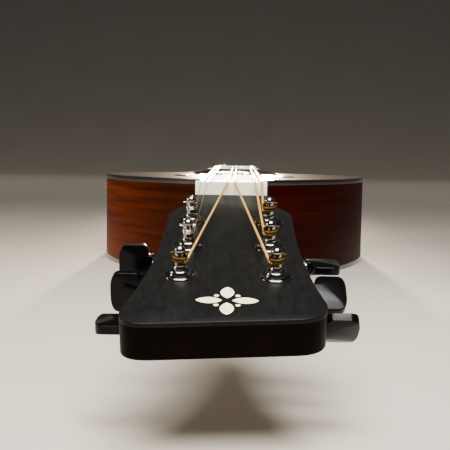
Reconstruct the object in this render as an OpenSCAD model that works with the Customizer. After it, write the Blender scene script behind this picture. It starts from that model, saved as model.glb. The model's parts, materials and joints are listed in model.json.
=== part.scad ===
// Flat-backed bouzouki with three double courses, lying on its back.
// Millimetres. +Z out of the soundboard, -Y towards the headstock, +X the bass side.
// The origin is under the middle of the whole instrument, on the plane that the back lies on.
// Modules place their pieces from the nut: y = 0 is where the fingerboard meets the nut.

/* [Scale and strings] */
// Scale length, nut to saddle
scale_len = 650; // [640:1:665]
// Number of frets
fret_count = 21; // [19:1:21]
// Fret at which the neck meets the body
join_fret = 14; // [13:1:15]
// Middle of an outer course from the centre line, at the nut
nut_course_x = 16; // [14:0.5:16]
// Middle of an outer course from the centre line, at the saddle
saddle_course_x = 22; // [19:0.5:23]
// Distance between the two strings of a course
pair_gap = 4; // [3:0.5:4.5]

/* [Neck] */
// Width at the nut
nut_w = 42; // [40:0.5:44]
// Width at the body join
join_w = 52; // [50:0.5:54]
// Wood under the fingerboard at the nut
neck_nut_depth = 15; // [14:0.5:17]
// Wood under the fingerboard at the body join
neck_join_depth = 18; // [16:0.5:20]
// Fingerboard thickness
board_t = 6; // [5:0.5:7]

/* [Headstock] */
// Length of the face along the centre line, nut to tip
head_len = 163; // [160:1:166]
// Backward pitch in degrees
head_pitch = 16; // [12:1:18]
// Whole thickness, veneer included
head_t = 17; // [15:0.5:18]
// Face veneer thickness
veneer_t = 2; // [1.5:0.5:2.5]
// Half width at the waist, by the first posts
head_waist = 33.6; // [32:0.2:35]
// Half width that the sides flare to at the tip, before the corners
head_tip = 47.3; // [44:0.1:50]
// Power of the flare: higher keeps the sides straight for longer
head_flare = 2.5; // [2:0.1:3]
// Radius of the tip's corners
head_corner = 14; // [10:1:16]
// Slant of the tip edge, rise over run
tip_slant = 0.1; // [0:0.01:0.12]

/* [Tuners] */
// Distance from one post to the next along the head
post_pitch = 35.5; // [35:0.5:38]
// Distance from the nut to the first post
first_post = 46; // [45:0.5:48]
// Height of a post above the face
post_h = 14.6; // [14:0.2:16]

/* [Body] */
// Length from the neck join to the tail
body_len = 430; // [420:1:440]
// Width of the lower bout
body_w = 332; // [320:1:340]
// Depth over both plates
body_depth = 104; // [96:1:108]
// Width of the flat where the neck meets the body
shoulder_w = 54; // [54:1:60]
// Sound hole radius
hole_r = 42; // [38:1:44]

/* [Hidden] */
$fn = 64;
TUNERS = ["bass_1", "bass_2", "bass_3", "treble_1", "treble_2", "treble_3"];
TUNER_PIECES = ["post", "gear", "worm", "button"];

// Colours
spruce = [0.80, 0.62, 0.38];
mahogany = [0.24, 0.07, 0.03];
dark_neck = [0.09, 0.03, 0.02];
ebony = [0.07, 0.05, 0.045];
bone = [0.93, 0.90, 0.80];
face_black = [0.10, 0.10, 0.095];
pearl = [0.97, 0.96, 0.82];
chrome = [0.55, 0.55, 0.56];
bronze = [0.75, 0.56, 0.30];
steel = [0.70, 0.70, 0.72];
brass = [0.72, 0.55, 0.25];
guard_brown = [0.16, 0.05, 0.02];
button_black = [0.05, 0.05, 0.055];

// Body: plates, ribs and their places along the instrument
eps = 0.01;
plate_t = 3;
rib_t = 2.5;
bind_h = 5.5;
lining_w = 6;
lining_h = 14;
bout_r = body_w / 2;
join_y = fret_y(join_fret);
tail_y = join_y + body_len;
bout_y = tail_y - bout_r;
shoulder_rise = bout_r - shoulder_w / 2;
shoulder_r = (pow(bout_y - join_y, 2) + pow(shoulder_rise, 2)) / (2 * shoulder_rise);
hole_y = fret_y(fret_count) + hole_r + 16;
rosette_in = hole_r + 3;
rosette_out = hole_r + 12;
rosette_t = 1;
block_len = 48;
tail_block_len = 26;
tail_block_w = 90;

// Neck, nut and fingerboard
neck_top = body_depth;
nut_t = 5.5;
nut_h = 8.2;
board_top = neck_top + board_t;
board_end = fret_y(fret_count) + 9;
fret_h = 1;
fret_w = 2.2;
tang_w = 0.6;
tang_h = 1.6;
dot_r = 3;
dot_t = 1.5;
dot_frets = [3, 5, 7, 10, 15, 17, 19];
octave_fret = 12;
face_rise = 0.3;
neck_round = 0.72;

// Headstock: where the flare starts, and the inlay in the face
flare_start = 40;
corner_x = head_tip - 3.3;
inlay_u = head_len - 20;
inlay_t = 0.6;

// Truss rod and neck bolts
rod_w = 5.8;
rod_h = 8.6;
rod_end_r = 2.25;
rod_z = neck_top - 6.5;
truss_nut_y = join_y + rib_t + block_len + 1;
key_r = 2.08;
bolt_r = 3;
bolt_washer_t = 1.5;
bolt_heights = [38, 70];
insert_r = 5.5;
insert_len = 14;

// Tuners, in a frame with its origin where the post's axis meets the head's face:
// x outwards to the button, y towards the nut, z out of the face
post_x = [20.75, 20.35, 22];
post_r = 3;
waist_r = 2.45;
waist_end = 11.2;
crown_r = 2.75;
crown_z = 12;
stub_r = 2.2;
post_hole_z = 10.9;
shaft_fit = 0.05;
worm_y = -6;
worm_z = -22.6;
worm_root = 1.85;
worm_out = 2.85;
gear_teeth = 14;
gear_pitch_r = 3.6;
gear_t = 3.2;
gear_out = 4.05;
gear_root = 3.0;
worm_lead = 2 * PI * gear_pitch_r / gear_teeth;
worm_turns = 5;
shaft_r = 2;
collar_end = 20;
button_len = 18;
button_w = 21.4;
button_t = 7;
button_rim = 4;
// Turn of each button about its shaft, in degrees from lying flat with the face
button_turn = [-10, 27, -55, 80, 90, -11];
washer_r = 7.5;
washer_t = 0.9;
bushing_r = 5.4;
bushing_h = 2.7;
barrel_r = 4.9;
barrel_in = 4.2;
housing_back = -28.2;
cover_t = 1.2;
screw_y = 13.5;
screw_r = 1.1;
wrap_z = 7.4;
wrap_gap = 0.1;

// Strings: radius of each by tuner, and its place across the nut as a side and an inner or outer member
string_r = [0.64, 0.62, 0.62, 0.18, 0.22, 0.60];
wrap_turns = [2, 2, 2, 4, 4, 2];
string_nut_z = board_top + fret_h + 0.7;
string_saddle_z = neck_top + 11.2;
comb_y = tail_y - 30;
comb_z = neck_top + 4.8;

// Bridge, saddle and tailpiece; its screws are placed by x and depth below the soundboard
bridge_w = 112;
bridge_t = 12;
saddle_t = 3;
saddle_half = saddle_course_x + pair_gap / 2 + 4;
saddle_z = neck_top + 6;
tail_leg = 34;
tail_sheet = 1.2;
tail_screws = [[-16, 12], [16, 12], [0, 26]];
tail_screw_r = 1.6;
tail_screw_len = 16;

// The whole instrument is centred along y
pin_len = 14;
mid_y = (tail_y + pin_len - nut_t - head_len * cos(head_pitch)) / 2;

function fret_y(n) = scale_len * (1 - pow(2, -n / 12));
function board_w(y) = nut_w + (join_w - nut_w) * y / join_y;
function side(i) = i < 3 ? 1 : -1;
function rank(i) = i % 3;
function post_u(i) = first_post + rank(i) * post_pitch;
// Across the nut or saddle: the tip posts hold the middle course, the other posts an outer course
function string_x(i, course_x) = side(i) * (rank(i) == 2 ? pair_gap / 2
    : course_x + (rank(i) == 0 ? 1 : -1) * pair_gap / 2);
function smooth(s) = s * s * (3 - 2 * s);
// Half width of the headstock at u from the nut
function head_half(u) = u < 10 ? nut_w / 2
    : u < 35 ? nut_w / 2 + (head_waist - nut_w / 2) * smooth((u - 10) / 25)
    : u < flare_start ? head_waist
    : head_waist + (head_tip - head_waist) * pow((u - flare_start) / (head_len - flare_start), head_flare);
function tip_u(x) = head_len - tip_slant * x;
// A quadratic curve from a to c that bends towards b
function curve(a, b, c, n) = [for (k = [0:n]) let (t = k / n)
    (1 - t) * (1 - t) * a + 2 * t * (1 - t) * b + t * t * c];
// Corner of the headstock on one side, from its side edge to its tip edge
function head_corner_pts(s) = let (
    u = tip_u(s * corner_x) - head_corner,
    vertex = [s * (head_half(u) + 1), tip_u(s * corner_x)])
    curve([s * head_half(u), u], vertex,
        [vertex[0] - s * head_corner, tip_u(vertex[0] - s * head_corner)], 10);
function head_side(s) = [for (u = [0, each [10:2.5:40], each [50:10:tip_u(s * corner_x) - head_corner - 6]])
    [s * head_half(u), u]];
function reversed(list) = [for (k = [len(list) - 1:-1:0]) list[k]];

// ---- Frames ----

// Stands children on the headstock's face: x across, y towards the nut, z out of the face
module on_head() {
    translate([0, -nut_t, neck_top + face_rise])
        rotate([head_pitch, 0, 0])
            children();
}

// Stands children on tuner i
module on_tuner(i) {
    on_head()
        mirror([side(i) < 0 ? 1 : 0, 0, 0])
            translate([post_x[rank(i)], -post_u(i), 0])
                children();
}

// ---- Body ----

module body_outline(inset = 0) {
    reach = bout_y - join_y - inset;
    translate([0, bout_y]) {
        intersection() {
            circle(r = bout_r - inset, $fn = 180);
            translate([-body_w, 0]) square([2 * body_w, body_w]);
        }
        intersection() {
            translate([bout_r - shoulder_r, 0]) circle(r = shoulder_r - inset, $fn = 240);
            translate([shoulder_r - bout_r, 0]) circle(r = shoulder_r - inset, $fn = 240);
            translate([-body_w, -reach]) square([2 * body_w, reach]);
        }
    }
}

// A ring that follows the body's edge between two insets
module body_ring(outer, inner, z, h) {
    translate([0, 0, z])
        linear_extrude(h)
            difference() {
                body_outline(outer);
                body_outline(inner);
            }
}

module soundboard() {
    color(spruce)
        difference() {
            translate([0, 0, body_depth - plate_t])
                linear_extrude(plate_t)
                    difference() {
                        body_outline(rib_t);
                        translate([0, hole_y]) circle(r = hole_r);
                    }
            translate([0, hole_y, body_depth - rosette_t])
                difference() {
                    cylinder(r = rosette_out, h = plate_t);
                    translate([0, 0, -1]) cylinder(r = rosette_in, h = plate_t + 2);
                }
        }
}

module rosette() {
    color(ebony)
        translate([0, hole_y, body_depth - rosette_t])
            difference() {
                cylinder(r = rosette_out, h = rosette_t);
                translate([0, 0, -1]) cylinder(r = rosette_in, h = rosette_t + 2);
            }
}

module back_plate() {
    color(mahogany)
        linear_extrude(plate_t)
            body_outline(rib_t);
}

module rib(s) {
    color(mahogany)
        difference() {
            intersection() {
                body_ring(0, rib_t, bind_h, body_depth - 2 * bind_h);
                translate([s > 0 ? 0 : -body_w, join_y - 1, 0])
                    cube([body_w, body_len + 2, body_depth]);
            }
            join_holes();
            tailpiece_screw_holes();
            end_pin_hole();
        }
}

module bindings() {
    color(ebony)
        difference() {
            for (z = [0, body_depth - bind_h])
                body_ring(0, rib_t, z, bind_h);
            join_holes();
        }
}

// The strips that join plates to ribs stop at the two blocks
module linings() {
    start = join_y + rib_t + block_len;
    stop = tail_y - rib_t - tail_block_len;
    color(spruce)
        for (z = [plate_t, body_depth - plate_t - lining_h])
            intersection() {
                body_ring(rib_t, rib_t + lining_w, z, lining_h);
                translate([-body_w, start, 0]) cube([2 * body_w, stop - start, body_depth]);
            }
}

module inside_body(z, h) {
    translate([0, 0, z])
        linear_extrude(h)
            intersection() {
                body_outline(rib_t);
                children();
            }
}

module neck_block() {
    color(mahogany)
        difference() {
            inside_body(plate_t, body_depth - 2 * plate_t)
                translate([-body_w / 2, join_y]) square([body_w, rib_t + block_len]);
            join_holes();
        }
}

module tail_block() {
    color(mahogany)
        difference() {
            inside_body(plate_t, body_depth - 2 * plate_t)
                translate([-tail_block_w / 2, tail_y - rib_t - tail_block_len])
                    square([tail_block_w, tail_block_len + rib_t]);
            tailpiece_screw_holes();
            end_pin_hole();
        }
}

// Ladder braces: three under the soundboard, three on the back
module braces() {
    top_h = 13;
    back_h = 11;
    brace_w = 8;
    top_y = [hole_y - hole_r - 24, hole_y + hole_r + 20, scale_len + 62];
    back_y = [join_y + 90, hole_y + 40, scale_len + 50];
    color(spruce)
        difference() {
            union() {
                for (y = top_y) brace(y, brace_w, body_depth - plate_t - top_h, top_h);
                for (y = back_y) brace(y, brace_w, plate_t, back_h);
            }
            // room for the key that turns the truss rod nut
            translate([0, join_y, rod_z]) rotate([-90, 0, 0]) cylinder(r = 7, h = 160);
        }
}

module brace(y, w, z, h) {
    translate([0, 0, z])
        linear_extrude(h)
            intersection() {
                body_outline(rib_t + lining_w + 0.1);
                translate([-body_w / 2, y - w / 2]) square([body_w, w]);
            }
}

// A crescent that hugs the rosette on the tail side
module pickguard() {
    color(guard_brown)
        translate([0, hole_y, body_depth])
            linear_extrude(1)
                intersection() {
                    difference() {
                        translate([0, 20]) circle(r = rosette_out + 19);
                        circle(r = rosette_out + 2);
                    }
                    translate([-body_w / 2, -12]) square([body_w, body_w]);
                }
}

module join_holes() {
    for (z = bolt_heights)
        translate([0, join_y - 1, z])
            rotate([-90, 0, 0]) cylinder(r = bolt_r + 0.2, h = block_len + rib_t + 2);
    translate([0, join_y - 1, rod_z])
        rotate([-90, 0, 0]) cylinder(r = rod_end_r + 0.3, h = block_len + rib_t + 2);
}

// ---- Bridge and tailpiece ----

module bridge() {
    half = bridge_w / 2;
    color(ebony)
        difference() {
            translate([0, scale_len + bridge_t / 2, 0])
                rotate([90, 0, 0])
                    linear_extrude(bridge_t)
                        polygon([
                            [-half, neck_top], [-20, neck_top], [-15, neck_top + 2.5],
                            [15, neck_top + 2.5], [20, neck_top], [half, neck_top],
                            [half, neck_top + 2], [34, neck_top + 7.5],
                            [-34, neck_top + 7.5], [-half, neck_top + 2]]);
            translate([-saddle_half, scale_len - saddle_t / 2, saddle_z])
                cube([2 * saddle_half, saddle_t, 10]);
        }
}

module saddle() {
    color(bone)
        difference() {
            translate([-saddle_half, scale_len - saddle_t / 2, saddle_z])
                cube([2 * saddle_half, saddle_t, string_saddle_z - saddle_z]);
            string_grooves();
        }
}

module tailpiece() {
    color(chrome)
        difference() {
            intersection() {
                translate([0, bout_y, 0])
                    union() {
                        translate([0, 0, body_depth])
                            cylinder(r = bout_r + tail_sheet, h = tail_sheet, $fn = 180);
                        translate([0, 0, body_depth - tail_leg])
                            difference() {
                                cylinder(r = bout_r + tail_sheet, h = tail_leg, $fn = 180);
                                translate([0, 0, -1])
                                    cylinder(r = bout_r, h = tail_leg + 1, $fn = 180);
                            }
                        translate([-body_w, comb_y - bout_y, body_depth])
                            cube([2 * body_w, 3, 9]);
                    }
                translate([-saddle_half, comb_y, 0])
                    cube([2 * saddle_half, body_w, body_depth + 20]);
            }
            for (i = [0:5])
                translate([string_x(i, saddle_course_x), comb_y - 1, comb_z])
                    rotate([-90, 0, 0]) cylinder(r = 1.2, h = 5);
            tailpiece_screw_holes();
        }
}

module tailpiece_screw_holes() {
    for (p = tail_screws)
        translate([p[0], tail_y - tail_screw_len, body_depth - p[1]])
            rotate([-90, 0, 0]) cylinder(r = tail_screw_r, h = tail_screw_len + 4);
}

module tailpiece_screws() {
    color(steel)
        for (p = tail_screws) {
            // the heads stand clear of the sheet, which curves away
            sheet = bout_y + sqrt(pow(bout_r + tail_sheet, 2) - pow(p[0], 2));
            face = sheet + 0.05 + 0.02 * abs(p[0]);
            translate([p[0], 0, body_depth - p[1]])
                rotate([-90, 0, 0]) {
                    translate([0, 0, tail_y - tail_screw_len])
                        cylinder(r = tail_screw_r, h = face - tail_y + tail_screw_len + 0.5);
                    difference() {
                        translate([0, 0, face]) cylinder(r1 = 3.2, r2 = 2.2, h = 1.8);
                        translate([-4, -0.4, face + 1]) cube([8, 0.8, 2]);
                    }
                }
        }
}

module end_pin_hole() {
    translate([0, tail_y - rib_t - tail_block_len - 1, body_depth / 2])
        rotate([-90, 0, 0]) cylinder(r = 4, h = tail_block_len + rib_t + 2);
}

module end_pin() {
    color(ebony)
        translate([0, tail_y, body_depth / 2])
            rotate([-90, 0, 0])
                rotate_extrude()
                    polygon(concat(
                        [[0, -24], [4, -24], [4, 0], [6.5, 0], [6.5, 2]],
                        [for (a = [0:15:180]) [6.5 - 2.2 * sin(a), 5 - 3 * cos(a)]],
                        [[7.6, 9], [7.6, 11], [5.5, 13.4], [0, pin_len]]));
}

// ---- Neck ----

// D-shaped section across the neck, flat side up
module neck_section(w, d) {
    polygon([for (a = [0:7.5:180])
        [sign(cos(a)) * w / 2 * pow(abs(cos(a)), neck_round), -d * pow(sin(a), neck_round)]]);
}

module neck_slice(y, w, d) {
    translate([0, y, neck_top])
        rotate([90, 0, 0])
            linear_extrude(eps) neck_section(w, d);
}

module neck_taper() {
    hull() {
        neck_slice(-nut_t, nut_w, neck_nut_depth);
        neck_slice(join_y, join_w, neck_join_depth);
    }
}

module neck_shaft() {
    color(dark_neck)
        difference() {
            neck_taper();
            translate([-rod_w / 2 - 0.1, 12, neck_top - rod_h - 0.2])
                cube([rod_w + 0.2, join_y, rod_h + 1]);
            // the scarf: everything past the nut belongs to the headstock
            on_head() translate([-60, -40, -60]) cube([120, 40, 120]);
        }
}

module neck_heel() {
    heel_bottom = 4;
    heel_top = neck_top - 6;
    heel_foot = 22;
    cove_r = 62;
    color(dark_neck)
        difference() {
            intersection() {
                // side view: a foot that sweeps up into the neck
                translate([-40, 0, 0])
                    rotate([90, 0, 90])
                        linear_extrude(80)
                            difference() {
                                translate([join_y - heel_foot - cove_r, heel_bottom])
                                    square([heel_foot + cove_r, heel_top - heel_bottom]);
                                translate([join_y - heel_foot - cove_r, heel_bottom + 18])
                                    circle(r = cove_r, $fn = 120);
                                translate([join_y - heel_foot - cove_r - 1, heel_bottom - 1])
                                    square([cove_r + 1, 19]);
                            }
                // front view: it narrows to the cap
                translate([0, join_y, 0])
                    rotate([90, 0, 0])
                        linear_extrude(120)
                            polygon([[-14, heel_bottom], [14, heel_bottom],
                                [21, heel_top], [-21, heel_top]]);
            }
            neck_taper();
            for (z = bolt_heights)
                translate([0, join_y - insert_len, z])
                    rotate([-90, 0, 0]) cylinder(r = insert_r, h = insert_len + 1);
        }
}

module neck_inserts() {
    color(steel)
        for (z = bolt_heights)
            translate([0, join_y - insert_len, z])
                rotate([-90, 0, 0])
                    difference() {
                        cylinder(r = insert_r, h = insert_len);
                        translate([0, 0, 2]) cylinder(r = bolt_r, h = insert_len);
                    }
}

module neck_bolts() {
    block_face = join_y + rib_t + block_len;
    color(steel)
        for (z = bolt_heights)
            translate([0, 0, z])
                rotate([-90, 0, 0]) {
                    translate([0, 0, join_y - insert_len + 3])
                        cylinder(r = bolt_r, h = insert_len + rib_t + block_len - 2);
                    difference() {
                        translate([0, 0, block_face + bolt_washer_t]) cylinder(r = 5, h = 5);
                        translate([0, 0, block_face + 3.5]) cylinder(r = 2.6, h = 5, $fn = 6);
                    }
                    difference() {
                        translate([0, 0, block_face]) cylinder(r = 8, h = bolt_washer_t);
                        translate([0, 0, block_face - 1]) cylinder(r = bolt_r + 0.2, h = 4);
                    }
                }
}

module truss_rod() {
    rod_start = 14;
    color(steel)
        union() {
            translate([-rod_w / 2, rod_start, neck_top - rod_h - 0.1])
                cube([rod_w, join_y - rod_start - 6, rod_h]);
            translate([0, join_y - 10, rod_z])
                rotate([-90, 0, 0]) cylinder(r = rod_end_r, h = truss_nut_y - join_y + 18);
        }
}

module truss_nut() {
    color(brass)
        translate([0, truss_nut_y, rod_z])
            rotate([-90, 0, 0])
                difference() {
                    union() {
                        cylinder(r = 2.9, h = 3);
                        translate([0, 0, 2.9]) cylinder(r = 3.3, h = 10, $fn = 6);
                    }
                    translate([0, 0, -1]) cylinder(r = rod_end_r + shaft_fit, h = 9.5);
                    translate([0, 0, 8]) cylinder(r = key_r, h = 6, $fn = 6);
                }
}

// ---- Fingerboard, nut and frets ----

module fingerboard() {
    color(ebony)
        difference() {
            translate([0, 0, neck_top])
                linear_extrude(board_t)
                    polygon([[-nut_w / 2, 0], [nut_w / 2, 0],
                        [board_w(board_end) / 2, board_end], [-board_w(board_end) / 2, board_end]]);
            for (n = [1:fret_count])
                translate([-40, fret_y(n) - tang_w / 2, board_top - tang_h])
                    cube([80, tang_w, tang_h + 1]);
            dots();
        }
}

module fret(n) {
    half = board_w(fret_y(n)) / 2 - 0.2;
    crown_r = (fret_w * fret_w / 4 + fret_h * fret_h) / (2 * fret_h);
    translate([-half, fret_y(n), board_top])
        rotate([90, 0, 90])
            linear_extrude(2 * half)
                union() {
                    intersection() {
                        translate([0, fret_h - crown_r]) circle(r = crown_r);
                        translate([-fret_w, 0]) square([2 * fret_w, fret_h + 1]);
                    }
                    translate([-tang_w / 2, -tang_h]) square([tang_w, tang_h + 0.2]);
                }
}

module frets() {
    color(steel)
        for (n = [1:fret_count]) fret(n);
}

module dot(n, x) {
    middle = (fret_y(n - 1) + fret_y(n)) / 2;
    translate([x, middle, board_top - dot_t]) cylinder(r = dot_r, h = dot_t);
}

module dots() {
    for (n = dot_frets) dot(n, 0);
    for (x = [-9, 9]) dot(octave_fret, x);
}

module fret_dots() {
    color(pearl) dots();
}

module nut() {
    color(bone)
        difference() {
            translate([-nut_w / 2, -nut_t, neck_top]) cube([nut_w, nut_t, nut_h]);
            // the top falls away towards the head
            translate([-nut_w, -nut_t, neck_top + nut_h])
                rotate([head_pitch, 0, 0])
                    translate([0, -10, -0.6]) cube([2 * nut_w, 13.2, 10]);
            string_grooves();
        }
}

// ---- Headstock ----

module head_outline() {
    right = concat(head_side(1), head_corner_pts(1));
    left = concat(head_side(-1), head_corner_pts(-1));
    mirror([0, 1, 0])
        polygon(concat(right, reversed(left)));
}

module post_bores() {
    for (i = [0:5])
        on_tuner(i)
            translate([0, 0, -head_t - 1]) cylinder(r = barrel_r + 0.1, h = head_t + 2);
}

// Keeps the head clear of the nut and the neck's flat top
module nut_room() {
    translate([-40, -nut_t, neck_top]) cube([80, 30, 20]);
}

module headstock() {
    color(dark_neck)
        difference() {
            on_head()
                translate([0, 0, -head_t])
                    linear_extrude(head_t - veneer_t) head_outline();
            post_bores();
            screw_bores();
            nut_room();
        }
}

module head_veneer() {
    color(face_black)
        difference() {
            on_head()
                translate([0, 0, -veneer_t])
                    linear_extrude(veneer_t) head_outline();
            post_bores();
            nut_room();
            inlay_shape(1);
        }
}

// Four petals and a small lozenge, let into the face
module inlay_shape(above = 0) {
    petal_len = 11.5;
    petal_w = 6;
    petal_r = (petal_len * petal_len / 4 + petal_w * petal_w / 4) / petal_w;
    on_head()
        translate([0, -inlay_u, -inlay_t]) {
            for (a = [0:90:270])
                rotate([0, 0, a])
                    translate([petal_len / 2 + 2.2, 0, 0])
                        linear_extrude(inlay_t + above)
                            intersection() {
                                translate([0, petal_r - petal_w / 2]) circle(r = petal_r);
                                translate([0, petal_w / 2 - petal_r]) circle(r = petal_r);
                            }
            for (a = [45:90:315])
                rotate([0, 0, a])
                    translate([6.6, 0, 0]) cylinder(r = 1.1, h = inlay_t + above);
        }
}

module head_inlay() {
    color(pearl) inlay_shape();
}

// ---- Tuners ----

module screw_bores() {
    for (i = [0:5])
        on_tuner(i)
            translate([0, screw_y, -head_t - 1]) cylinder(r = screw_r, h = 10);
}

module rounded_rect(x0, y0, x1, y1, r) {
    translate([x0 + r, y0]) square([x1 - x0 - 2 * r, y1 - y0]);
    translate([x0, y0 + r]) square([x1 - x0, y1 - y0 - 2 * r]);
    for (x = [x0 + r, x1 - r], y = [y0 + r, y1 - r])
        translate([x, y]) circle(r = r);
}

// Die-cast case behind the head: a boxed gear chamber, a threaded barrel up through the head,
// a collar out to the button and a tab for its screw
module housing() {
    base = -head_t;
    difference() {
        union() {
            translate([0, 0, housing_back])
                linear_extrude(base - housing_back) rounded_rect(-8.5, -11, 8.5, 7.5, 3);
            translate([0, 0, base - 2])
                linear_extrude(2) {
                    translate([-4, 5]) square([8, screw_y - 5]);
                    translate([0, screw_y]) circle(r = 4);
                }
            translate([0, 0, base]) cylinder(r = barrel_r, h = head_t - 0.5);
            translate([8, worm_y, worm_z]) rotate([0, 90, 0]) cylinder(r = 4.2, h = collar_end - 9.5);
            translate([collar_end - 2, worm_y, worm_z]) rotate([0, 90, 0]) cylinder(r = 3.4, h = 2);
        }
        // gear chamber
        translate([0, 0, housing_back + cover_t]) {
            cylinder(r = 4.7, h = 8.3);
            translate([-6.2, -9.6, 0]) cube([12.4, 8, 8.3]);
        }
        // recess that the cover closes
        translate([0, 0, housing_back - 1])
            linear_extrude(cover_t + 1 + eps) rounded_rect(-7.3, -9.8, 7.3, 6.3, 2);
        translate([0, 0, base - 5]) cylinder(r = post_r + shaft_fit, h = 20);
        translate([0, 0, base + 4]) cylinder(r = barrel_in, h = head_t);
        translate([4, worm_y, worm_z])
            rotate([0, 90, 0]) cylinder(r = shaft_r + shaft_fit, h = collar_end);
        translate([0, screw_y, base - 4]) cylinder(r = 1.6, h = 8);
    }
}

module tuner_housings() {
    color(button_black)
        for (i = [0:5]) on_tuner(i) housing();
}

module tuner_covers() {
    color(chrome)
        for (i = [0:5])
            on_tuner(i)
                translate([0, 0, housing_back])
                    linear_extrude(cover_t) rounded_rect(-7.2, -9.7, 7.2, 6.2, 2);
}

module tuner_screws() {
    color(steel)
        for (i = [0:5])
            on_tuner(i)
                translate([0, screw_y, -head_t])
                    difference() {
                        union() {
                            translate([0, 0, -2.5]) cylinder(r = screw_r, h = 11);
                            translate([0, 0, -3.6]) cylinder(r1 = 1.9, r2 = 2.7, h = 1.6);
                        }
                        for (a = [0, 90])
                            rotate([0, 0, a]) translate([-1.4, -0.3, -4]) cube([2.8, 0.6, 1]);
                    }
}

module post_washers() {
    color(chrome)
        for (i = [0:5])
            on_tuner(i)
                rotate_extrude()
                    polygon([[barrel_r + 0.1, 0], [washer_r, 0], [washer_r, 0.35],
                        [washer_r - 0.5, washer_t], [washer_r - 1.1, washer_t],
                        [washer_r - 1.9, washer_t - 0.3], [barrel_r + 0.1, washer_t - 0.3]]);
}

// Driven down into the barrel, with a round shoulder on top: the post turns in its bore
module bushing() {
    seat = washer_t - 0.3;
    top = seat + bushing_h;
    difference() {
        rotate_extrude()
            polygon(concat(
                [[0, -8], [barrel_in, -8], [barrel_in, seat], [bushing_r, seat], [bushing_r, seat + 0.7]],
                curve([bushing_r - 0.2, seat + 1], [bushing_r - 0.6, top], [post_r + 0.7, top], 6),
                [[0, top]]));
        translate([0, 0, -9]) cylinder(r = post_r + shaft_fit, h = 20);
    }
}

module post_bushings() {
    color(chrome)
        for (i = [0:5]) on_tuner(i) bushing();
}

// String post: bearing length, waist for the windings and a domed crown
module post(i) {
    bottom = housing_back + cover_t + 0.15;
    color(chrome)
        on_tuner(i)
            difference() {
                rotate_extrude()
                    polygon(concat(
                        [[0, bottom], [stub_r, bottom], [stub_r, worm_z + gear_t / 2],
                         [post_r, worm_z + gear_t / 2], [post_r, 4.2]],
                        curve([post_r, 4.2], [waist_r, 4.9], [waist_r, 5.5], 5),
                        [[waist_r, waist_end]],
                        curve([waist_r, waist_end], [waist_r, 11.7], [crown_r, crown_z], 4),
                        [for (a = [7.5:7.5:90])
                            [crown_r * cos(a), crown_z + (post_h - crown_z) * sin(a)]]));
                translate([0, 0, post_hole_z])
                    rotate([90, 0, 90]) cylinder(r = 0.75, h = 12, center = true, $fn = 24);
            }
}

function tooth(k) = let (a = k * 360 / gear_teeth, step = 360 / gear_teeth)
    [[gear_root, a - 0.36 * step], [gear_out, a - 0.1 * step],
     [gear_out, a + 0.1 * step], [gear_root, a + 0.36 * step]];

module gear(i) {
    color(brass)
        on_tuner(i)
            translate([0, 0, worm_z - gear_t / 2])
                difference() {
                    // a tooth stands at the middle of the worm, in the gap between two threads
                    linear_extrude(gear_t)
                        rotate([0, 0, -90])
                            polygon([for (k = [0:gear_teeth - 1], p = tooth(k))
                                p[0] * [cos(p[1]), sin(p[1])]]);
                    translate([0, 0, -1]) cylinder(r = stub_r, h = gear_t + 2);
                }
}

// One right-hand thread round the x axis, as rings of four corners
module worm_thread() {
    steps = 16;
    count = worm_turns * steps;
    corners = [[1.5, -0.45], [worm_out, -0.16], [worm_out, 0.16], [1.5, 0.45]];
    // the half turn at each end leaves a gap facing the gear's middle tooth
    points = [for (k = [0:count], c = corners)
        let (a = 360 * k / steps, x = worm_lead * (k / steps - worm_turns / 2) + c[1])
        [x, c[0] * cos(a), c[0] * sin(a)]];
    walls = [for (k = [0:count - 1], c = [0:3])
        let (d = (c + 1) % 4, p = 4 * k)
        each [[p + c, p + d, p + 4 + d], [p + c, p + 4 + d, p + 4 + c]]];
    last = 4 * count;
    ends = [[2, 1, 0], [3, 2, 0], [last, last + 1, last + 2], [last, last + 2, last + 3]];
    polyhedron(points, concat(walls, ends));
}

module worm(i) {
    color(steel)
        on_tuner(i)
            translate([0, worm_y, worm_z]) {
                union() {
                    worm_thread();
                    translate([-5.9, 0, 0]) rotate([0, 90, 0]) cylinder(r = worm_root, h = 11.9);
                    translate([5.2, 0, 0])
                        rotate([0, 90, 0]) cylinder(r = shaft_r, h = collar_end + button_len - 11);
                }
            }
}

// Outline of a button from its shaft end, x outwards: a neck that swells to a rounded paddle
module button_outline() {
    neck = 5;
    polygon(concat(
        [[0, -neck], [2, -neck]],
        curve([2, -neck], [2.6, -button_w / 2], [6, -button_w / 2], 8),
        curve([13, -button_w / 2], [button_len, -button_w / 2], [button_len, -2], 8),
        curve([button_len, 2], [button_len, button_w / 2], [13, button_w / 2], 8),
        curve([6, button_w / 2], [2.6, button_w / 2], [2, neck], 8),
        [[0, neck]]));
}

module button(i) {
    half = button_w / 2;
    color(button_black)
        on_tuner(i)
            translate([collar_end + 0.5, worm_y, worm_z])
                rotate([button_turn[i], 0, 0])
                    difference() {
                        intersection() {
                            translate([0, 0, -button_t / 2]) linear_extrude(button_t) button_outline();
                            // both faces fall away towards the end
                            rotate([90, 0, 0])
                                linear_extrude(40, center = true)
                                    polygon([[0, -button_t / 2], [7, -button_t / 2],
                                        [button_len, -2.2], [button_len, 2.2],
                                        [7, button_t / 2], [0, button_t / 2]]);
                            // and towards both rims
                            rotate([90, 0, 90])
                                linear_extrude(button_len)
                                    polygon([[-half, -button_rim / 2], [-4, -button_t / 2],
                                        [4, -button_t / 2], [half, -button_rim / 2],
                                        [half, button_rim / 2], [4, button_t / 2],
                                        [-4, button_t / 2], [-half, button_rim / 2]]);
                        }
                        translate([-1, 0, 0]) rotate([0, 90, 0]) cylinder(r = shaft_r, h = button_len - 4.5);
                    }
}

// ---- Strings ----

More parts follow.
